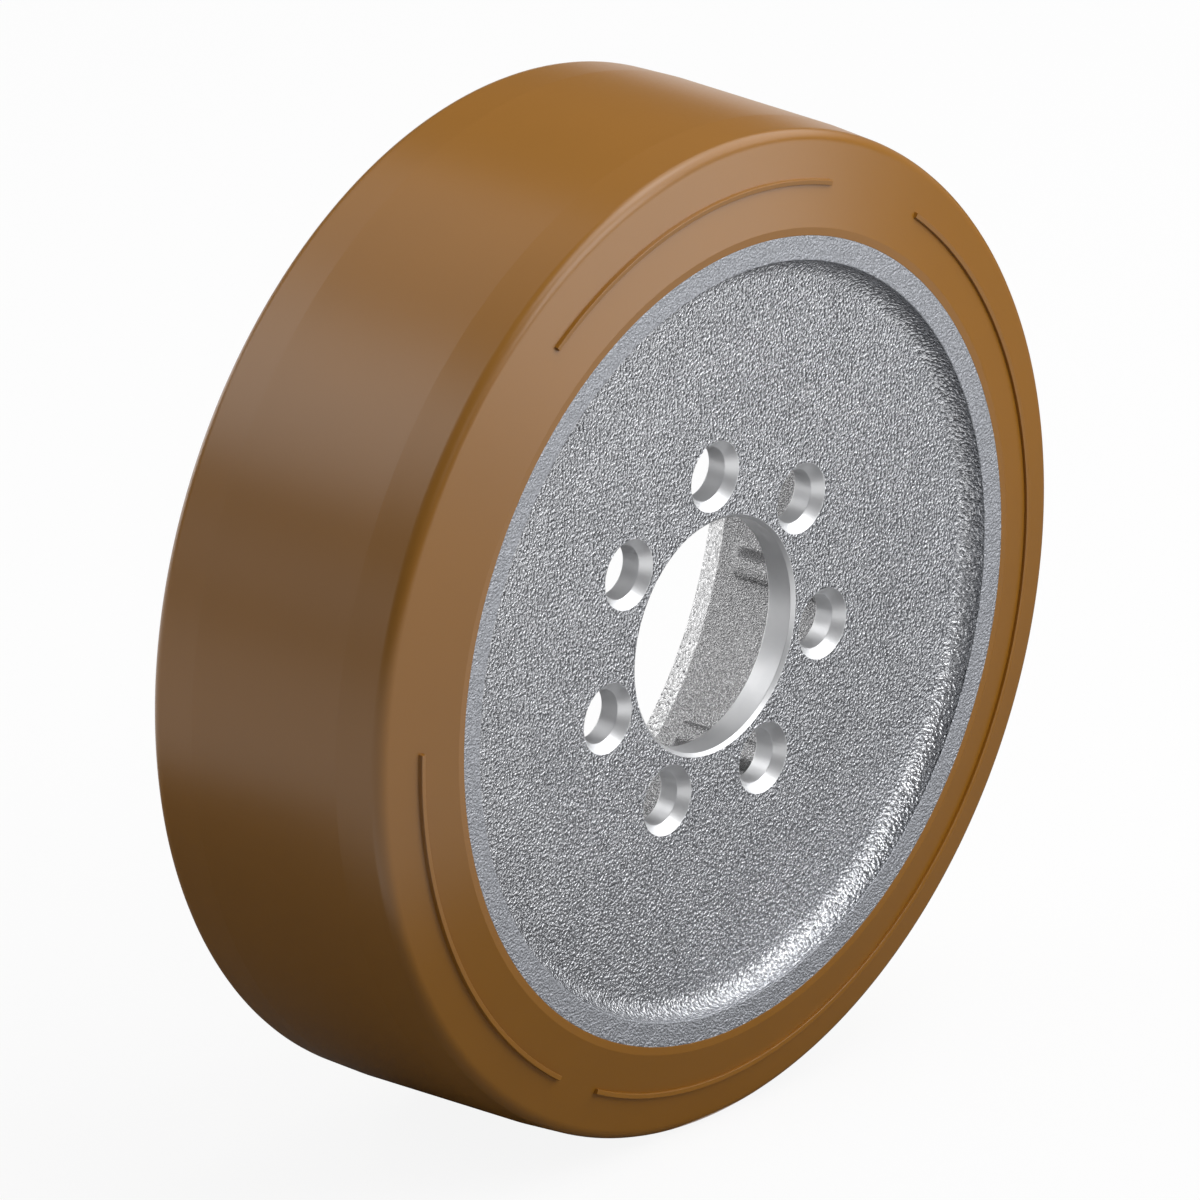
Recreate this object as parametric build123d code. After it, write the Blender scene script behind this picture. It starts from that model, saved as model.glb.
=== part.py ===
from build123d import *
import math
import os

# Drive wheel for a gearbox output flange. Millimetres. The wheel turns about Y through the origin,
# which lies in its mid-plane. Z is up and the outer side faces -Y. Angles round the wheel are
# counted seen from the outer side, from +X towards +Z.

# Whole wheel
outer_diameter = 250.0
overall_width = 83.2

# Tread: a flat running face, tapered shoulders and sloping sidewalls
tread_thickness = 25.0  # from the running face in to the iron
running_face_width = 44.8
shoulder_taper = 2.9  # degrees to the wheel axis
shoulder_radius = 3.5
sidewall_land = 2.0  # flat ring beside the iron, flush with its face
sidewall_slope = 15.2  # degrees to the wheel's face

# Raised ridge arcs on the outer sidewall
ridge_inset = 13.0  # from the running face in to the inner edge of the crest
ridge_width = 1.2
ridge_crest_depth = 2.0  # crest behind the wheel's outer face
ridge_draft = 0.15  # each flank leans out by this much at its foot
ridge_root = 0.6  # how far the foot is carried into the sidewall
ridge_arcs = ((69.4, 123.6), (177.6, 236.9), (244.8, 410.9))  # start and end, degrees

# Dished outer side of the casting
flange_width = 6.1  # flat ring of iron beside the tread
recess_depth = 5.5
recess_cove = 5.1  # radius between web and flange ring
flange_edge_round = 0.3

# Web, bore and bolt holes
web_thickness = 7.0
seat_height = 1.0  # machined pad on the inner side, which the hub bears on
seat_diameter = 108.0
seat_chamfer = 1.0
bore_diameter = 58.2
bore_chamfer = 0.85
inner_edge_break = 0.4  # at the inner ends of bore and bolt holes
bolt_circle_diameter = 82.0
bolt_count = 7
first_bolt_angle = 90.0
bolt_hole_diameter = 13.5
countersink_diameter = 17.7
countersink_depth = 2.6

# Open inner side: the hollow that takes the hub, with ribs between web and rim
mouth_wall = 7.6  # thickness of the rim at its inner face
mouth_bevel_depth = 8.0
rim_wall = 12.1  # thickness of the rim at the foot of the bevel
cavity_draft = 1.0  # degrees
cavity_fillet = 6.0
rib_count = 12
first_rib_angle = 15.0
rib_thickness = 6.0
rib_depth = 8.9  # how far a rib stands off the rim
rib_foot_diameter = 124.0  # inner end of each rib on the web
rib_rise = 24.0  # axial length of the slope from that end up to the crest
rib_crest_setback = 19.6  # from the wheel's inner face in to the end of the crest
rib_setback = 12.8  # from the same face in to where the rib runs out on the rim
rib_round = 2.0
rib_fillet = 2.0  # where the ribs meet web and rim
rib_root = 3.0  # how far a rib is carried into web and rim

# Places along the axis and radii that follow from the sizes above
outer_face = -overall_width / 2
inner_face = overall_width / 2
web_front = outer_face + recess_depth
web_back = web_front + web_thickness
seat_face = web_back + seat_height
bevel_foot = inner_face - mouth_bevel_depth

tread_radius = outer_diameter / 2
rim_radius = tread_radius - tread_thickness
recess_radius = rim_radius - flange_width
bore_radius = bore_diameter / 2
seat_radius = seat_diameter / 2
bolt_circle_radius = bolt_circle_diameter / 2
bolt_hole_radius = bolt_hole_diameter / 2
countersink_radius = countersink_diameter / 2
mouth_radius = rim_radius - mouth_wall
cavity_radius = rim_radius - rim_wall
cavity_root_radius = cavity_radius - (bevel_foot - web_back) * math.tan(math.radians(cavity_draft))


def filled(points):
    """A face bounded by straight lines, with radius along X and the wheel axis along Y."""
    with BuildSketch() as sketch:
        with BuildLine():
            Polyline(points, close=True)
        make_face()
    return sketch.sketch


def rounded_at(section, corner, radius):
    """The same section with the corner nearest to a point rounded."""
    return fillet(section.vertices().sort_by_distance((*corner, 0))[0], radius)


def turned_to(solid, angle):
    """A solid made at +X, moved round the wheel to an angle."""
    return solid.rotate(Axis.Y, -angle)


def ring_of(solid, count, first_angle):
    """Equally spaced copies of a solid round the wheel."""
    return [turned_to(solid, first_angle + 360 / count * k) for k in range(count)]


def casting_body():
    """Rim, flange rings, dished web and hub seat, turned in one piece."""
    section = filled(
        [
            (bore_radius, web_front + bore_chamfer),
            (bore_radius + bore_chamfer, web_front),
            (recess_radius, web_front),
            (recess_radius, outer_face),
            (rim_radius, outer_face),
            (rim_radius, inner_face),
            (mouth_radius, inner_face),
            (cavity_radius, bevel_foot),
            (cavity_root_radius, web_back),
            (seat_radius + seat_chamfer, web_back),
            (seat_radius, seat_face),
            (bore_radius + inner_edge_break, seat_face),
            (bore_radius, seat_face - inner_edge_break),
        ]
    )
    section = rounded_at(section, (recess_radius, web_front), recess_cove)
    section = rounded_at(section, (recess_radius, outer_face), flange_edge_round)
    section = rounded_at(section, (cavity_root_radius, web_back), cavity_fillet)
    return revolve(section, Axis.Y)


def rib():
    """One rib at +X: up from the web, along the rim, and out to nothing before the bevel."""
    crest_radius = cavity_radius - rib_depth
    crest_end = inner_face - rib_crest_setback
    run_out = inner_face - rib_setback
    profile = filled(
        [
            (rib_foot_diameter / 2, web_back - rib_root),
            (rib_foot_diameter / 2, web_back),
            (crest_radius, web_back + rib_rise),
            (crest_radius, crest_end),
            (cavity_radius, run_out),
            (cavity_radius + rib_root, run_out),
            (cavity_radius + rib_root, web_back - rib_root),
        ]
    )
    plate = extrude(profile, amount=rib_thickness / 2, both=True)
    long_edges = plate.edges().filter_by(Plane.XY)
    inner_edges = long_edges.filter_by(
        lambda edge: edge.center().X < crest_radius + rib_root and edge.center().Y > web_back
    )
    return fillet(inner_edges, rib_round)


def bolt_hole():
    """The countersunk hole of one bolt, at +X, open past both faces of the web."""
    past = bolt_hole_radius
    section = filled(
        [
            (0, web_front - past),
            (countersink_radius, web_front - past),
            (countersink_radius, web_front),
            (bolt_hole_radius, web_front + countersink_depth),
            (bolt_hole_radius, seat_face - inner_edge_break),
            (bolt_hole_radius + inner_edge_break, seat_face),
            (bolt_hole_radius + inner_edge_break, seat_face + past),
            (0, seat_face + past),
        ]
    )
    return Pos(bolt_circle_radius, 0, 0) * revolve(section, Axis.Y)


def wheel_centre():
    """The iron casting with its ribs, machined bore and bolt holes."""
    casting = casting_body()
    ribs = ring_of(rib(), rib_count, first_rib_angle)
    ribbed = casting + ribs
    ribbed = fillet(new_edges(casting, *ribs, combined=ribbed), rib_fillet)
    return ribbed - ring_of(bolt_hole(), bolt_count, first_bolt_angle)


def tread_body():
    """The moulded band, the same on both sides of the mid-plane."""
    taper = math.tan(math.radians(shoulder_taper))
    slope = math.tan(math.radians(sidewall_slope))
    land_radius = rim_radius + sidewall_land
    flat_edge = running_face_width / 2
    # Axial length of the taper, up to where it would meet the sidewall
    shoulder = (inner_face - flat_edge - (tread_radius - land_radius) * slope) / (1 - taper * slope)
    corner = (tread_radius - shoulder * taper, flat_edge + shoulder)
    upper_half = [
        (tread_radius, flat_edge),
        corner,
        (land_radius, inner_face),
        (rim_radius, inner_face),
    ]
    lower_half = [(radius, -along) for radius, along in reversed(upper_half)]
    section = filled(upper_half + lower_half)
    section = rounded_at(section, corner, shoulder_radius)
    section = rounded_at(section, (corner[0], -corner[1]), shoulder_radius)
    return revolve(section, Axis.Y)


def ridge(start_angle, end_angle):
    """One raised arc on the outer sidewall, with square ends."""
    inner = tread_radius - ridge_inset
    outer = inner + ridge_width
    crest = outer_face + ridge_crest_depth
    foot_rise = (outer - rim_radius - sidewall_land) * math.tan(math.radians(sidewall_slope))
    foot = outer_face + foot_rise + ridge_root
    section = filled(
        [
            (inner, crest),
            (outer, crest),
            (outer + ridge_draft, foot),
            (inner - ridge_draft, foot),
        ]
    )
    return turned_to(revolve(section, Axis.Y, end_angle - start_angle), end_angle)


def tread():
    """The polyurethane band with its ridge arcs."""
    return tread_body() + [ridge(start, end) for start, end in ridge_arcs]


os.makedirs("parts", exist_ok=True)
export_step(wheel_centre(), "parts/wheel_centre.step")
export_step(tread(), "parts/tread.step")
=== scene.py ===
import math

import bmesh
import bpy
import numpy as np
from mathutils import Matrix, Vector


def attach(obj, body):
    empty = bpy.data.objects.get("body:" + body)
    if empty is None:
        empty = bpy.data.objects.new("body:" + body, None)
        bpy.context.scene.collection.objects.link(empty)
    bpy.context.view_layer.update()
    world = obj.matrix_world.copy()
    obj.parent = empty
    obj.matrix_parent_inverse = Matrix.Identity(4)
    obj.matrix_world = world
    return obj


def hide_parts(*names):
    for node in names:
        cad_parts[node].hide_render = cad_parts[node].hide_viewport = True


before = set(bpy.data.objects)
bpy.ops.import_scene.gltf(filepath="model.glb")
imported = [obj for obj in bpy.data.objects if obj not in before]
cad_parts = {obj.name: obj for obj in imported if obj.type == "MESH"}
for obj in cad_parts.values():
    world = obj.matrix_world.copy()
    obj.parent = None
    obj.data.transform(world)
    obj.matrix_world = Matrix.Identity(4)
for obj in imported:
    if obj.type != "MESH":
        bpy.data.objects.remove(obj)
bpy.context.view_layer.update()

# Sizes in millimetres. The wheel turns about Y, the outer side faces -Y, and angles round the wheel
# are counted seen from the outer side, from +X towards +Z.
mm = 0.001

# Tread
tread_radius = 125.0
rim_radius = 100.0
half_width = 41.6
flat_half_width = 22.4
shoulder_taper = 2.9  # degrees
shoulder_round = 3.5
sidewall_land = 2.0
sidewall_slope = 15.2  # degrees
bond_edge_round = 0.08
land_edge_round = 0.5
taper_edge_round = 1.5

# Ridge arcs on the outer sidewall
ridge_inner_radius = 112.0
ridge_width = 1.2
ridge_crest_depth = 2.0
ridge_draft = 0.15
ridge_root = 0.6
ridge_edge_round = 0.12
ridge_arcs = ((69.4, 123.6), (177.6, 236.9), (244.8, 410.9))  # degrees

# Casting, outer side
recess_radius = 93.9
recess_depth = 5.5
recess_cove = 5.1
flange_edge_round = 0.3
web_thickness = 7.0
seat_height = 1.0
seat_radius = 54.0
seat_chamfer = 1.0
seat_root_round = 0.4

# Bore and bolt holes
bore_radius = 29.1
bore_chamfer = 0.85
edge_break = 0.4
machined_edge_round = 0.1
bolt_circle_radius = 41.0
bolt_count = 7
first_bolt_angle = 90.0
bolt_hole_radius = 6.75
countersink_radius = 8.85
countersink_depth = 2.6

# Casting, inner side
mouth_radius = 92.4
bevel_depth = 8.0
bevel_foot_round = 0.8
cavity_radius = 87.9
cavity_draft = 1.0  # degrees
cavity_fillet = 6.0
rib_count = 12
first_rib_angle = 15.0
rib_half_thickness = 3.0
rib_draft = 0.1  # each flank leans by this much either way of its middle
rib_crest_radius = 79.0
rib_foot_radius = 62.0
rib_rise = 24.0
rib_crest_end = 63.6  # behind the outer face
rib_end = 70.4
rib_round = 2.0
rib_fillet = 2.0
rib_bend_round = 1.0  # where the crest turns

# Places along the axis that follow from the sizes
outer_face = -half_width
inner_face = half_width
web_front = outer_face + recess_depth
web_back = web_front + web_thickness
seat_face = web_back + seat_height
bevel_foot = inner_face - bevel_depth
cavity_root_radius = cavity_radius - (bevel_foot - web_back) * math.tan(math.radians(cavity_draft))

# Mesh. The casting's number of columns divides by the bolts and by twice the ribs.
tread_columns = 720
casting_columns = 504
ridge_columns_per_degree = 1.5
guard_cell = 0.2  # flat cell at both ends of a rounded corner
fewest_arc_cells = 2
arc_cells = 2.0  # in each radian of a corner
arc_cells_by_size = 1.6  # and so many more, times the root of the corner's radius
path_search_points = 4001
bolt_ring_inner = 30.8  # the ring of the web that holds the bolt holes
bolt_ring_outer = 53.0
hole_side_cells = 16
hole_flat_rim = 0.6  # flat cell of each face round a bolt hole
hole_face_steps = (0.25, 0.6, 1.0)  # from that cell to the edge of the hole's share of the web
rib_lead_in = 2.0  # where the ribbed rows start, inside the ribs' feet
rib_lead_out = 1.0  # where they end, past the ribs
rib_foot_cells = 4
rib_slope_cells = 22
rib_crest_cells = 6
rib_end_cells = 8
sliding_cells = 5  # rows in which equal columns slide over to those of the ribs
merge_distance = 0.004
smooth_up_to = 38.0  # degrees between neighbouring faces
hair = 0.000001  # less than any step along the axis

# Finishes of the casting, as places in its list of materials. The hollow's and the mouth's are copies
# of the cast skin, with painted shade and a painted highlight.
on_web, on_machined, on_flange, on_shaded_hollow, on_highlit_mouth = range(5)

# Cast iron. Colours are a dark and a light end, and grain counts lumps in a metre.
web_colours = ((0.38, 0.39, 0.41), (0.69, 0.70, 0.725))
web_grain = 1300.0
# The hollow: the cast skin with its light end a little darker than the web's, painted shade of the
# hollow
hollow_shade_colours = ((0.38, 0.38, 0.384), (0.64, 0.64, 0.645))
hollow_grain = 2300.0
# The mouth's bevel: the cast skin made much lighter, a painted highlight of the bright reflection it
# shows
mouth_highlight_colours = ((0.60, 0.60, 0.605), (0.98, 0.98, 0.985))
mouth_grain = 1000.0
cast_worming = 0.15  # how far the grains are drawn out and bent
cast_finer_grain = 3.0  # times the grain
cast_finer_share = 0.05
cast_relief = 0.9  # times the width of a grain
cast_patches = 60.0
cast_patch_share = 0.15
cast_tone_range = (0.36, 0.64)
cast_roughness = 0.17
cast_roughness_spread = 0.06

# Flange ring, with relief in metres
flange_colours = ((0.45, 0.464, 0.498), (0.57, 0.586, 0.628))
flange_grain = 1700.0
flange_worming = 0.1
flange_relief = 0.0006
flange_tone_range = (0.4, 0.62)
flange_metal = 0.75
flange_roughness = 0.42
flange_roughness_spread = 0.1

# Machined iron
machined_colours = ((0.84, 0.848, 0.86), (0.89, 0.895, 0.905))
machined_marks = 900.0
machined_stretch = (0.2, 4.0, 0.2)  # close along the axis and long round it
machined_clouds = 140.0
machined_relief = 0.000003
machined_roughness = 0.42
machined_roughness_spread = 0.04
cloud_tone_range = (0.3, 0.7)

# Polyurethane
amber_colours = ((0.330, 0.1365, 0.0100), (0.350, 0.1445, 0.0106))
amber_clouds = 14.0
amber_skin = 1100.0
amber_relief = 0.000006
amber_roughness = 0.28
amber_roughness_spread = 0.06
amber_refraction = 1.5
amber_specular = 0.68

# Floor and room, in metres
floor_level = -tread_radius * mm
floor_reach = 6.0
floor_colour = (0.33, 0.33, 0.33)  # as the wheel sees it
floor_seen_colour = (0.86, 0.86, 0.86)  # as the camera and gloss see it
floor_seen_glow = 0.9
room_colours = (
    (0.0, (0.12, 0.12, 0.125)),
    (0.5, (0.13, 0.13, 0.135)),
    (1.0, (0.20, 0.20, 0.20)),
)

# Lamps: name, azimuth in degrees, distance and height of the place, width and height of the lamp's
# face, all in metres, and the brightness of that face
lamps = (
    ("front_low", 304.0, 1.5, 0.15, 1.15, 0.36, 2.6),
    ("front_tall", 292.0, 1.21, 0.88, 0.82, 0.78, 3.5),
    ("ceiling", 314.0, 0.51, 1.41, 1.3, 0.7, 2.4),
    ("high_right", 352.0, 1.07, 1.05, 1.45, 1.35, 1.72),
    ("front_left", 247.0, 1.26, 0.82, 0.42, 0.6, 0.6),
    ("rear_left", 124.0, 1.17, 0.93, 1.0, 0.7, 1.95),
    ("rear_top", 82.0, 0.96, 1.15, 0.7, 0.6, 0.85),
    ("rear_side", 146.0, 1.48, 0.3, 0.8, 0.36, 0.8),
    ("rear_low", 88.0, 1.5, 0.13, 0.7, 0.48, 2.0),
)
level_lamp_limit = 0.6  # lamps up to this height shine level, and the others at the wheel's middle

# Card of painted shade, seen only in gloss: its edge as from and to in degrees, and reach in metres
card_shade_colour = (0.15, 0.15, 0.155)
card_lift = 0.002
card_step = 16
card_edge = ((326, 391, 3.0), (406, 470, 0.2), (470, 534, 0.31), (534, 680, 0.2))

# Camera, with the picture's centre in millimetres right of and above the hub of the outer face
view_azimuth = math.radians(-50.04)
view_elevation = math.radians(21.86)
view_centre = (-31.744, 9.902)
frame_width = 0.2870
camera_distance = 1.6


def unit(vector):
    """The same direction with length one."""
    return vector / np.linalg.norm(vector)


def rounded_path(corners):
    """Straight runs between corners given as (radius, along the axis, round). A corner with a round
    becomes an arc that touches both runs, with a short guard cell before and after it, so that the
    shading stays flat on the runs."""
    points = [np.array(corners[0][:2], float)]
    for before, corner, after in zip(corners[:-2], corners[1:-1], corners[2:]):
        tip = np.array(corner[:2], float)
        back = unit(np.array(before[:2]) - tip)
        ahead = unit(np.array(after[:2]) - tip)
        size = corner[2]
        if size == 0:
            points.append(tip)
            continue
        half = math.acos(np.clip(back @ ahead, -1, 1)) / 2
        reach = size / math.tan(half)
        centre = tip + unit(back + ahead) * size / math.sin(half)
        sweep = math.pi - 2 * half
        wanted = sweep * (arc_cells + arc_cells_by_size * math.sqrt(size))
        cells = max(fewest_arc_cells, math.ceil(wanted))
        share = np.linspace(0, 1, cells + 1)[:, None]
        first = tip + back * reach - centre
        last = tip + ahead * reach - centre
        swept = np.sin((1 - share) * sweep) * first + np.sin(share * sweep) * last
        arc = centre + swept / math.sin(sweep)
        points.append(arc[0] + back * guard_cell)
        points.extend(arc)
        points.append(arc[-1] + ahead * guard_cell)
    points.append(np.array(corners[-1][:2], float))
    return np.array(points)


def running_length(path):
    """Length along the path up to each of its points."""
    steps = np.linalg.norm(np.diff(path, axis=0), axis=1)
    return np.concatenate([[0], np.cumsum(steps)])


def points_at(path, lengths):
    """The points of the path at these lengths along it."""
    running = running_length(path)
    return np.stack([np.interp(lengths, running, path[:, k]) for k in range(2)], -1)


def length_at(path, point):
    """Length along the path up to its point nearest to the given one."""
    lengths = np.linspace(0, running_length(path)[-1], path_search_points)
    away = np.linalg.norm(points_at(path, lengths) - np.array(point), axis=1)
    return lengths[np.argmin(away)]


def in_space(radius, along, angle):
    """Points at radius r and angle a round the wheel: x = r cos a, y = along, z = r sin a."""
    radius, along, angle = np.broadcast_arrays(radius, along, angle)
    return np.stack([radius * np.cos(angle), along, radius * np.sin(angle)], -1)


class Surface:
    """Grids of points gathered into one mesh. Each grid gives a finish to each of its rows of faces."""

    def __init__(self):
        self.points = []
        self.faces = []
        self.finishes = []
        self.count = 0

    def grid(self, points, finish=0):
        """Adds a grid of rows by columns, whose last column is joined to its first."""
        rows, columns = points.shape[:2]
        index = np.arange(rows * columns).reshape(rows, columns) + self.count
        index = np.concatenate([index, index[:, :1]], axis=1)
        quads = np.stack([index[:-1, :-1], index[1:, :-1], index[1:, 1:], index[:-1, 1:]], -1)
        per_row = np.broadcast_to(np.asarray(finish), (rows - 1,))
        self.points.append(points.reshape(-1, 3))
        self.faces.append(quads.reshape(-1, 4))
        self.finishes.append(np.repeat(per_row, columns))
        self.count += rows * columns

    def piece(self, name, materials):
        """The gathered grids as one closed object, with its faces turned outwards."""
        points = np.concatenate(self.points) * mm
        faces = np.concatenate(self.faces)
        finishes = np.concatenate(self.finishes)
        mesh = bpy.data.meshes.new(name)
        mesh.from_pydata(points.tolist(), [], faces.tolist())
        mesh.polygons.foreach_set("material_index", finishes.astype(np.int32))
        work = bmesh.new()
        work.from_mesh(mesh)
        bmesh.ops.remove_doubles(work, verts=work.verts, dist=merge_distance * mm)
        bmesh.ops.recalc_face_normals(work, faces=work.faces)
        work.to_mesh(mesh)
        work.free()
        for material in materials:
            mesh.materials.append(material)
        mesh.shade_smooth()
        mesh.set_sharp_from_angle(angle=math.radians(smooth_up_to))
        piece = bpy.data.objects.new(name, mesh)
        bpy.context.collection.objects.link(piece)
        return piece


class Value:
    """A number that varies over a surface. Sums and products of values add Math nodes."""

    def __init__(self, finish, socket):
        self.finish = finish
        self.socket = socket

    def maths(self, operation, *others):
        """This number and the others, put through one Math node."""
        inputs = {k: other for k, other in enumerate((self, *others))}
        return self.finish.value("ShaderNodeMath", {"operation": operation}, inputs)

    def __add__(self, other):
        return self.maths("ADD", other)

    __radd__ = __add__

    def __mul__(self, other):
        return self.maths("MULTIPLY", other)

    __rmul__ = __mul__

    def between(self, low, high):
        """0 up to low, 1 from high on, and smooth in between."""
        settings = {"interpolation_type": "SMOOTHSTEP"}
        inputs = {"Value": self, "From Min": low, "From Max": high}
        return self.finish.value("ShaderNodeMapRange", settings, inputs)


class Finish:
    """A material or a world and its nodes."""

    def __init__(self, owner):
        self.owner = owner
        owner.use_nodes = True
        self.tree = owner.node_tree
        self.tree.nodes.clear()

    def node(self, kind, settings=None, inputs=None):
        """A node of that type: first its settings are made, then its sockets get values or links."""
        made = self.tree.nodes.new(kind)
        for key, setting in (settings or {}).items():
            if key == "stops":
                while len(made.color_ramp.elements) < len(setting):
                    made.color_ramp.elements.new(0.5)
                for element, (place, colour) in zip(made.color_ramp.elements, setting):
                    element.position = place
                    element.color = (*colour, 1.0)
            else:
                setattr(made, key, setting)
        for key, value in (inputs or {}).items():
            if isinstance(value, Value):
                self.tree.links.new(value.socket, made.inputs[key])
            else:
                made.inputs[key].default_value = value
        return made

    def value(self, kind, settings=None, inputs=None, output=0):
        """One output of a new node, by its name or number."""
        return Value(self, self.node(kind, settings, inputs).outputs[output])

    def place(self, stretch=(1.0, 1.0, 1.0)):
        """The surface point in the wheel's frame, in metres, each axis times its stretch."""
        point = self.value("ShaderNodeTexCoord", output="Object")
        return self.value("ShaderNodeMapping", {}, {"Vector": point, "Scale": stretch})

    def noise(self, where, scale, detail=2.0, roughness=0.5, distortion=0.0):
        """Cloudy noise from 0 to 1, with about scale lumps in a metre."""
        inputs = {
            "Vector": where,
            "Scale": scale,
            "Detail": detail,
            "Roughness": roughness,
            "Distortion": distortion,
        }
        return self.value("ShaderNodeTexNoise", {}, inputs)

    def blend(self, share, first, second):
        """The first colour where share is 0 and the second where it is 1."""
        inputs = {0: share, 6: (*first, 1.0), 7: (*second, 1.0)}
        return self.value("ShaderNodeMix", {"data_type": "RGBA"}, inputs, output=2)

    def raised(self, height, distance):
        """The normal of a relief that rises from 0 to distance, in metres, with the height."""
        inputs = {"Height": height, "Distance": distance, "Strength": 1.0}
        return self.value("ShaderNodeBump", {}, inputs)

    def dress(self, shader, output="ShaderNodeOutputMaterial"):
        """Puts the shader on the material or world, and gives that back."""
        end = self.tree.nodes.new(output)
        self.tree.links.new(shader.outputs[0], end.inputs["Surface"])
        return self.owner


def cast_skin(name, colours, scale):
    """Cast iron as the mould left it: a worm-like grain, raised and lighter at its crests."""
    finish = Finish(bpy.data.materials.new(name))
    where = finish.place()
    grain = finish.noise(where, scale, detail=1.0, distortion=cast_worming)
    finer = finish.noise(where, scale * cast_finer_grain, detail=0.0)
    patches = finish.noise(where, cast_patches, detail=3.0, roughness=0.6)
    relief = finish.raised(grain + finer * cast_finer_share, cast_relief / scale)
    tone = patches * cast_patch_share + grain * (1.0 - cast_patch_share)
    iron = {
        "Base Color": finish.blend(tone.between(*cast_tone_range), *colours),
        "Metallic": 1.0,
        "Roughness": grain * cast_roughness_spread + cast_roughness,
        "Normal": relief,
    }
    return finish.dress(finish.node("ShaderNodeBsdfPrincipled", {}, iron))


def flange_ring():
    """The flange ring: the same iron with a finer and duller grain, a little bluish."""
    finish = Finish(bpy.data.materials.new("flange_finish"))
    where = finish.place()
    grain = finish.noise(where, flange_grain, detail=1.0, roughness=0.6, distortion=flange_worming)
    relief = finish.raised(grain, flange_relief)
    iron = {
        "Base Color": finish.blend(grain.between(*flange_tone_range), *flange_colours),
        "Metallic": flange_metal,
        "Roughness": grain * flange_roughness_spread + flange_roughness,
        "Normal": relief,
    }
    return finish.dress(finish.node("ShaderNodeBsdfPrincipled", {}, iron))


def machined_iron():
    """Iron turned or bored bright, with fine tool marks that run round the bores."""
    finish = Finish(bpy.data.materials.new("machined_iron"))
    marks = finish.noise(finish.place(machined_stretch), machined_marks, roughness=0.6)
    clouds = finish.noise(finish.place(), machined_clouds)
    relief = finish.raised(marks, machined_relief)
    iron = {
        "Base Color": finish.blend(clouds.between(*cloud_tone_range), *machined_colours),
        "Metallic": 1.0,
        "Roughness": marks * machined_roughness_spread + machined_roughness,
        "Normal": relief,
    }
    return finish.dress(finish.node("ShaderNodeBsdfPrincipled", {}, iron))


def polyurethane():
    """Amber brown moulded polyurethane with a satin surface."""
    finish = Finish(bpy.data.materials.new("polyurethane"))
    where = finish.place()
    clouds = finish.noise(where, amber_clouds, detail=3.0, roughness=0.55)
    skin = finish.noise(where, amber_skin)
    amber = {
        "Base Color": finish.blend(clouds.between(*cloud_tone_range), *amber_colours),
        "Roughness": skin * amber_roughness_spread + amber_roughness,
        "IOR": amber_refraction,
        "Specular IOR Level": amber_specular,
        "Normal": finish.raised(skin, amber_relief),
    }
    return finish.dress(finish.node("ShaderNodeBsdfPrincipled", {}, amber))


def tread_piece(materials):
    """The band: a profile of straight runs and rounds turned about the wheel axis."""
    taper = math.tan(math.radians(shoulder_taper))
    slope = math.tan(math.radians(sidewall_slope))
    land = rim_radius + sidewall_land
    # Axial length of the taper, up to where it would meet the sidewall
    shoulder = (half_width - flat_half_width - (tread_radius - land) * slope) / (1 - taper * slope)
    half = [
        (rim_radius, half_width, bond_edge_round),
        (land, half_width, land_edge_round),
        (tread_radius - shoulder * taper, flat_half_width + shoulder, shoulder_round),
        (tread_radius, flat_half_width, taper_edge_round),
    ]
    mirrored = [(radius, -along, size) for radius, along, size in reversed(half)]
    path = rounded_path([(rim_radius, 0.0, 0), *half, *mirrored, (rim_radius, 0.0, 0)])
    angle = np.linspace(0, 2 * math.pi, tread_columns, endpoint=False)
    surface = Surface()
    surface.grid(in_space(path[:, :1], path[:, 1:], angle[None, :]))
    return surface.piece("tread_band", materials)


def ridge_piece(materials):
    """The ridge arcs: a drafted bar section carried along an arc on the sloping sidewall, and drawn
    together to its middle at both ends."""
    inner = ridge_inner_radius
    outer = inner + ridge_width
    crest = outer_face + ridge_crest_depth
    foot_rise = (outer - rim_radius - sidewall_land) * math.tan(math.radians(sidewall_slope))
    foot = outer_face + foot_rise + ridge_root
    section = rounded_path(
        [
            (inner + ridge_width / 2, foot, 0),
            (inner - ridge_draft, foot, 0),
            (inner, crest, ridge_edge_round),
            (outer, crest, ridge_edge_round),
            (outer + ridge_draft, foot, 0),
            (inner + ridge_width / 2, foot, 0),
        ]
    )[:-1]
    surface = Surface()
    middle = section.mean(axis=0)
    for start, end in ridge_arcs:
        columns = math.ceil((end - start) * ridge_columns_per_degree)
        angle = np.radians(np.linspace(start, end, columns))
        points = in_space(section[None, :, 0], section[None, :, 1], angle[:, None])
        ends = [in_space(middle[0], middle[1], turn)[None, None] for turn in (angle[0], angle[-1])]
        caps = [np.broadcast_to(end_point, (1, len(section), 3)) for end_point in ends]
        surface.grid(np.concatenate([caps[0], points, caps[1]]))
    return surface.piece("tread_ridges", materials)


def column_angles():
    """Equal steps round the wheel, in radians."""
    return np.linspace(0, 2 * math.pi, casting_columns, endpoint=False)


def hole_share_edge():
    """The edge of one bolt's share of the web as a closed loop: its outer arc, a side, its inner
    arc and the other side, as places relative to the hole, first axis away from the wheel axis."""
    cells = casting_columns // bolt_count
    half = math.pi / bolt_count
    turn = np.linspace(-half, half, cells + 1)
    reach = np.linspace(bolt_ring_outer, bolt_ring_inner, hole_side_cells + 1)
    radius = np.concatenate(
        [
            np.full(cells, bolt_ring_outer),
            reach[:-1],
            np.full(cells, bolt_ring_inner),
            reach[:0:-1],
        ]
    )
    angle = np.concatenate(
        [
            turn[:-1],
            np.full(hole_side_cells, half),
            turn[:0:-1],
            np.full(hole_side_cells, -half),
        ]
    )
    return np.stack([radius * np.cos(angle) - bolt_circle_radius, radius * np.sin(angle)], -1)


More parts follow.
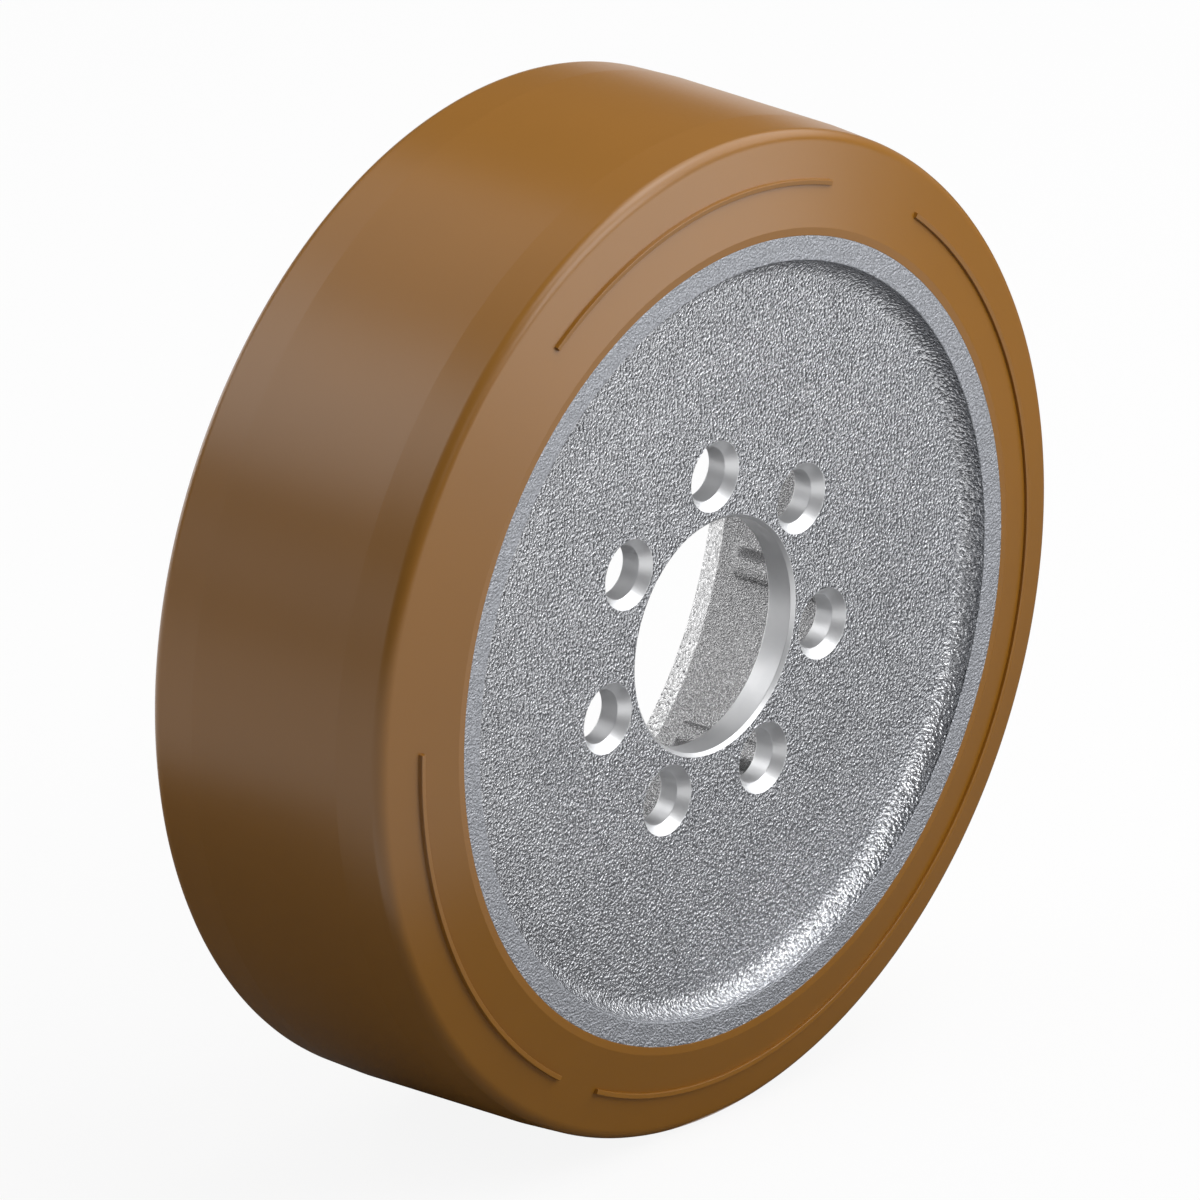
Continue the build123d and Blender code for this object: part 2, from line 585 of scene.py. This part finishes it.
def add_bolt_holes(surface):
    """For each bolt, its share of the web's outer face, the countersunk hole and its share of the
    seat. On the faces a point goes straight from the hole's circle to the edge of the share."""
    edge = hole_share_edge()
    direction = edge / np.linalg.norm(edge, axis=1, keepdims=True)
    wall = rounded_path(
        [
            (countersink_radius + hole_flat_rim, web_front, 0),
            (countersink_radius, web_front, machined_edge_round),
            (bolt_hole_radius, web_front + countersink_depth, machined_edge_round),
            (bolt_hole_radius, seat_face - edge_break, machined_edge_round),
            (bolt_hole_radius + edge_break, seat_face, machined_edge_round),
            (bolt_hole_radius + edge_break + hole_flat_rim, seat_face, 0),
        ]
    )
    share = np.array(hole_face_steps)[:, None, None]
    web_face = direction * wall[0, 0] * (1 - share) + edge * share
    seat = direction * wall[-1, 0] * (1 - share) + edge * share
    hole = direction[None] * wall[:, None, :1]
    plan = np.concatenate([web_face[::-1], hole, seat])
    steps = len(hole_face_steps)
    along = np.concatenate([np.full(steps, web_front), wall[:, 1], np.full(steps, seat_face)])
    middle = (along[:-1] + along[1:]) / 2
    finish = np.where(middle > web_front + hair, on_machined, on_web)
    for k in range(bolt_count):
        turn = math.radians(first_bolt_angle + 360 / bolt_count * k)
        out = plan[..., 0] + bolt_circle_radius
        side = plan[..., 1]
        x = out * math.cos(turn) - side * math.sin(turn)
        z = out * math.sin(turn) + side * math.cos(turn)
        y = np.broadcast_to(along[:, None], x.shape)
        surface.grid(np.stack([x, y, z], -1), finish)


def add_bore(surface):
    """The ring of web round the bore, with the chamfered bore wall, turned about the wheel axis."""
    path = rounded_path(
        [
            (bolt_ring_inner, web_front, 0),
            (bore_radius + bore_chamfer, web_front, machined_edge_round),
            (bore_radius, web_front + bore_chamfer, machined_edge_round),
            (bore_radius, seat_face - edge_break, machined_edge_round),
            (bore_radius + edge_break, seat_face, machined_edge_round),
            (bolt_ring_inner, seat_face, 0),
        ]
    )
    middle = (path[:-1, 1] + path[1:, 1]) / 2
    finish = np.where(middle > web_front + hair, on_machined, on_web)
    surface.grid(in_space(path[:, :1], path[:, 1:], column_angles()[None, :]), finish)


def rib_columns(valley, crest):
    """Rows of points round one rib, from its middle plane to the middle between two ribs.

    In each row the valley is a point of the turned casting and the crest the rib's ridge above it,
    both as (radius, along). A column has a sideways offset from the rib's middle plane and a height
    between valley and crest: crest flat, quarter round, leaning flank, quarter fillet, then valley."""
    round_cells, flank_cells, fillet_cells = 4, 5, 4
    half_columns = casting_columns // rib_count // 2
    lean = np.linspace(0, 1, flank_cells + 1)
    curve = np.linspace(0, math.pi / 2, round_cells + 1)
    bend = np.linspace(0, math.pi / 2, fillet_cells + 1)
    top = rib_half_thickness - rib_draft
    foot = rib_half_thickness + rib_draft
    # Sideways offsets, and heights as a drop from the crest or a rise from the valley
    offset = np.concatenate(
        [
            [0.0],
            top - rib_round + rib_round * np.sin(curve),
            top + (foot - top) * lean[1:],
            foot + rib_fillet * (1 - np.cos(bend[1:])),
        ]
    )
    height = np.linalg.norm(crest - valley, axis=1)[:, None]
    full = np.maximum(height, rib_round + rib_fillet)
    drop = np.concatenate([[0.0], rib_round * (1 - np.cos(curve))])
    rise = rib_fillet * (1 - np.sin(bend[1:]))
    upper = full - drop
    flank = (full - rib_round) + (rib_fillet - full + rib_round) * lean[1:]
    lower = np.broadcast_to(rise, (len(full), len(rise)))
    share = np.concatenate([upper, flank, lower], axis=1) / full
    valley_out = np.sqrt(valley[:, :1] ** 2 - offset**2)
    out = valley_out + (crest[:, :1] - valley_out) * share
    along = valley[:, 1:] + (crest[:, 1:] - valley[:, 1:]) * share
    radius = np.hypot(out, offset)
    angle = np.arctan2(np.broadcast_to(offset, out.shape), out)
    # The valley between the fillet and the middle of the gap
    rest = half_columns + 1 - angle.shape[1]
    spread = np.linspace(0, 1, rest + 1)[1:]
    gap = math.pi / rib_count
    valley_angle = angle[:, -1:] + (gap - angle[:, -1:]) * spread
    radius = np.concatenate([radius, np.broadcast_to(valley[:, :1], valley_angle.shape)], axis=1)
    along = np.concatenate([along, np.broadcast_to(valley[:, 1:], valley_angle.shape)], axis=1)
    angle = np.concatenate([angle, valley_angle], axis=1)
    return radius, along, angle


def round_the_wheel(radius, along, angle):
    """Mirrors the half rib in its middle plane and repeats it round the wheel."""
    radius = np.concatenate([radius[:, :0:-1], radius[:, :-1]], axis=1)
    along = np.concatenate([along[:, :0:-1], along[:, :-1]], axis=1)
    angle = np.concatenate([-angle[:, :0:-1], angle[:, :-1]], axis=1)
    turns = math.radians(first_rib_angle) + 2 * math.pi / rib_count * np.arange(rib_count)
    angles = np.concatenate([angle + turn for turn in turns], axis=1)
    return np.tile(radius, rib_count), np.tile(along, rib_count), angles


def ribbed_rows(start, end):
    """The ribs and the valleys between them, from start on the web up to end on the hollow's wall.

    The valley follows the turned casting and the crest follows the rib's ridge. Both are cut into the
    same number of equal steps between stations, which are points that belong together."""
    valley_path = rounded_path(
        [(*start, 0), (cavity_root_radius, web_back, cavity_fillet), (*end, 0)]
    )
    crest_path = rounded_path(
        [
            (*start, 0),
            (rib_foot_radius, web_back, rib_fillet),
            (rib_crest_radius, web_back + rib_rise, rib_bend_round),
            (rib_crest_radius, outer_face + rib_crest_end, rib_bend_round),
            (cavity_radius, outer_face + rib_end, rib_fillet),
            (*end, 0),
        ]
    )
    foot = (rib_foot_radius, web_back)
    beside_slope = (cavity_root_radius, web_back + rib_rise - cavity_fillet)
    slope_top = (rib_crest_radius, web_back + rib_rise)
    beside_crest = (cavity_radius, outer_face + rib_crest_end)
    crest_top = (rib_crest_radius, outer_face + rib_crest_end)
    stations = (
        (foot, foot, rib_foot_cells),
        (beside_slope, slope_top, rib_slope_cells),
        (beside_crest, crest_top, rib_crest_cells),
        (end, end, rib_end_cells),
    )
    valley = [valley_path[:1]]
    crest = [crest_path[:1]]
    valley_from = 0.0
    crest_from = 0.0
    for valley_point, crest_point, cells in stations:
        valley_to = length_at(valley_path, valley_point)
        crest_to = length_at(crest_path, crest_point)
        valley.append(points_at(valley_path, np.linspace(valley_from, valley_to, cells + 1))[1:])
        crest.append(points_at(crest_path, np.linspace(crest_from, crest_to, cells + 1))[1:])
        valley_from = valley_to
        crest_from = crest_to
    return round_the_wheel(*rib_columns(np.concatenate(valley), np.concatenate(crest)))


def rim_finishes(points):
    """The finish of each row of faces, by where its middle lies: out from the axis and along it."""
    slack = 0.1
    seat_lift = 0.02
    out = np.hypot(points[..., 0], points[..., 2]).mean(axis=1)
    along = points[..., 1].mean(axis=1)
    out = (out[:-1] + out[1:]) / 2
    along = (along[:-1] + along[1:]) / 2
    mouth_edge = mouth_radius + flange_edge_round + slack
    flange = (along < outer_face + flange_edge_round) & (out > recess_radius - slack)
    turned = (out > mouth_edge) & (along > web_back) & ~flange
    turned |= (out < seat_radius + seat_chamfer) & (along > web_back + seat_lift)
    mouth = ~turned & (along > bevel_foot) & (out < mouth_edge)
    hollow = ~turned & ~mouth & (along > web_back - slack)
    # The hollow's rows take the cast skin toned as painted shade, and the mouth's the one toned as a
    # painted highlight
    places = [flange, turned, mouth, hollow]
    return np.select(places, [on_flange, on_machined, on_highlit_mouth, on_shaded_hollow], on_web)


def add_rim(surface):
    """From the web's outer face over the cove, flange and rim into the ribbed hollow and back to the
    seat. Rows away from the ribs have equal steps round the wheel, and slide over to the ribs'."""
    past_ribs = outer_face + rib_end + rib_lead_out
    wall_narrowing = (bevel_foot - past_ribs) * math.tan(math.radians(cavity_draft))
    front = rounded_path(
        [
            (bolt_ring_outer, web_front, 0),
            (recess_radius, web_front, recess_cove),
            (recess_radius, outer_face, flange_edge_round),
            (rim_radius, outer_face, bond_edge_round),
            (rim_radius, inner_face, bond_edge_round),
            (mouth_radius, inner_face, flange_edge_round),
            (cavity_radius, bevel_foot, bevel_foot_round),
            (cavity_radius - wall_narrowing, past_ribs, 0),
        ]
    )
    rib_start = (rib_foot_radius - rib_lead_in, web_back)
    # The ribbed rows run from the web outwards, so they are turned round to follow the front rows
    radius, along, angle = (part[::-1] for part in ribbed_rows(rib_start, tuple(front[-1])))
    rib_angle = angle[0]
    # Equal columns that meet those of the ribs at the middle of each gap
    equal = math.radians(first_rib_angle) - math.pi / rib_count + column_angles()
    steps = np.linspace(0, 1, sliding_cells + 1)[1:-1]
    smooth = steps * steps * (3 - 2 * steps)
    sliding = front[-2] + (front[-1] - front[-2]) * steps[:, None]
    slid = equal + smooth[:, None] * (rib_angle - equal)
    seat = rounded_path(
        [
            (*rib_start, 0),
            (seat_radius + seat_chamfer, web_back, seat_root_round),
            (seat_radius, seat_face, machined_edge_round),
            (bolt_ring_outer, seat_face, 0),
        ]
    )[1:]
    points = np.concatenate(
        [
            in_space(front[:-1, :1], front[:-1, 1:], equal[None, :]),
            in_space(sliding[:, :1], sliding[:, 1:], slid),
            in_space(radius, along, angle),
            in_space(seat[:, :1], seat[:, 1:], equal[None, :]),
        ]
    )
    surface.grid(points, rim_finishes(points))


def casting_piece(materials):
    """The iron wheel centre as one closed surface."""
    surface = Surface()
    add_bolt_holes(surface)
    add_bore(surface)
    add_rim(surface)
    return surface.piece("iron_casting", materials)


casting = casting_piece(
    [
        cast_skin("cast_skin", web_colours, web_grain),
        machined_iron(),
        flange_ring(),
        # the hollow: a slightly darker copy of the cast skin, painted shade
        cast_skin("hollow_skin_painted_shade", hollow_shade_colours, hollow_grain),
        # the mouth's bevel: a much lighter copy of the cast skin, a painted highlight
        cast_skin("mouth_skin_painted_highlight", mouth_highlight_colours, mouth_grain),
    ]
)
amber = polyurethane()
band = tread_piece([amber])
ridges = ridge_piece([amber])
for piece, node, slot in (
    (casting, "wheel_centre", "cast_iron"),
    (band, "tread", "polyurethane"),
    (ridges, "tread", "polyurethane"),
):
    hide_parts(node)
    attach(piece, "root")


def flat_object(name, corners, faces, material):
    """A flat thing of the studio from its corners."""
    mesh = bpy.data.meshes.new(name)
    mesh.from_pydata(corners, [], faces)
    mesh.materials.append(material)
    thing = bpy.data.objects.new(name, mesh)
    bpy.context.collection.objects.link(thing)
    return thing


def floor_finish():
    """Pale floor that keeps the wheel's shadow and looks nearly white to the camera and in gloss."""
    finish = Finish(bpy.data.materials.new("studio_floor"))
    path = finish.node("ShaderNodeLightPath")
    rays = ("Is Camera Ray", "Is Glossy Ray", "Is Transmission Ray")
    camera_ray, glossy_ray, passing_ray = (Value(finish, path.outputs[name]) for name in rays)
    seen = (camera_ray + glossy_ray + passing_ray).maths("MINIMUM", 1.0)
    shade = finish.blend(seen, floor_colour, floor_seen_colour)
    cloth = finish.node("ShaderNodeBsdfDiffuse", {}, {"Color": shade})
    white = finish.node("ShaderNodeEmission", {}, {"Color": (1.0, 1.0, 1.0, 1.0), "Strength": 1.0})
    both = finish.node("ShaderNodeMixShader", {}, {0: seen * floor_seen_glow})
    finish.tree.links.new(cloth.outputs[0], both.inputs[1])
    finish.tree.links.new(white.outputs[0], both.inputs[2])
    return finish.dress(both)


def studio_floor():
    """A large square floor that the wheel stands on."""
    sides = ((-1, -1), (1, -1), (1, 1), (-1, 1))
    corners = [(x * floor_reach, y * floor_reach, floor_level) for x, y in sides]
    flat_object("studio_floor", corners, [(0, 1, 2, 3)], floor_finish())


def studio_world():
    """A dim grey room, a little lighter towards the ceiling."""
    world = bpy.data.worlds.new("studio_room")
    bpy.context.scene.world = world
    finish = Finish(world)
    towards = finish.value("ShaderNodeTexCoord", output="Generated")
    height = finish.value("ShaderNodeSeparateXYZ", {}, {0: towards}, output=2)
    ramp = finish.value("ShaderNodeValToRGB", {"stops": room_colours}, {0: height})
    shader = finish.node("ShaderNodeBackground", {}, {"Color": ramp, "Strength": 1.0})
    finish.dress(shader, "ShaderNodeOutputWorld")


def around(azimuth, distance, height):
    """A place at that azimuth, counted from +X towards +Y, all in degrees and metres."""
    turn = math.radians(azimuth)
    return (distance * math.cos(turn), distance * math.sin(turn), height)


def softbox(name, place, target, width, height, brightness):
    """A soft rectangular lamp at place, facing target. Its power is its area times its brightness
    times pi, so that a lamp keeps its brightness in gloss when its size changes."""
    data = bpy.data.lights.new(name, "AREA")
    data.shape = "RECTANGLE"
    data.size = width
    data.size_y = height
    data.energy = brightness * math.pi * width * height
    lamp = bpy.data.objects.new(name, data)
    lamp.location = place
    lamp.rotation_mode = "QUATERNION"
    lamp.rotation_quaternion = (Vector(target) - Vector(place)).to_track_quat("-Z", "Y")
    bpy.context.collection.objects.link(lamp)


def painted_shade_card():
    """A grey card on the floor that paints shade into reflections: a patch round the wheel's foot, a
    painted shadow of the wheel, that runs far out on one side. Only gloss shows it, so that the sides
    and the bright metal keep a painted dark part."""
    finish = Finish(bpy.data.materials.new("painted_shade_card"))
    # Painted shade: a dark grey that gloss shows in place of the bright floor
    shader = finish.node("ShaderNodeBsdfDiffuse", {}, {"Color": (*card_shade_colour, 1.0)})
    level = floor_level + card_lift
    edge = [
        around(turn, reach, level)
        for start, end, reach in card_edge
        for turn in range(start, end, card_step)
    ]
    fan = [(0, 1 + k, 1 + (k + 1) % len(edge)) for k in range(len(edge))]
    card = flat_object("painted_shade_card", [(0.0, 0.0, level), *edge], fan, finish.dress(shader))
    card.visible_camera = False
    card.visible_shadow = False
    card.visible_diffuse = False


def studio_camera():
    """A camera with parallel projection, level across the picture, that faces the picture's centre."""
    right = Vector((math.cos(view_azimuth), math.sin(view_azimuth), 0.0))
    back = Vector(
        (
            math.sin(view_azimuth) * math.cos(view_elevation),
            -math.cos(view_azimuth) * math.cos(view_elevation),
            math.sin(view_elevation),
        )
    )
    up = back.cross(right)
    hub = Vector((0.0, outer_face * mm, 0.0))
    centre = hub + right * view_centre[0] * mm + up * view_centre[1] * mm
    data = bpy.data.cameras.new("camera")
    data.type = "ORTHO"
    data.ortho_scale = frame_width
    camera = bpy.data.objects.new("camera", data)
    bpy.context.collection.objects.link(camera)
    turned = Matrix((right, up, back)).transposed().to_4x4()
    camera.matrix_world = Matrix.Translation(centre + back * camera_distance) @ turned
    bpy.context.scene.camera = camera


studio_floor()
studio_world()
for name, azimuth, distance, height, width, tall, brightness in lamps:
    aim = (0.0, 0.0, 0.0 if height > level_lamp_limit else height)
    softbox(name, around(azimuth, distance, height), aim, width, tall, brightness)
painted_shade_card()
studio_camera()

bpy.context.scene.view_settings.view_transform = "Standard"
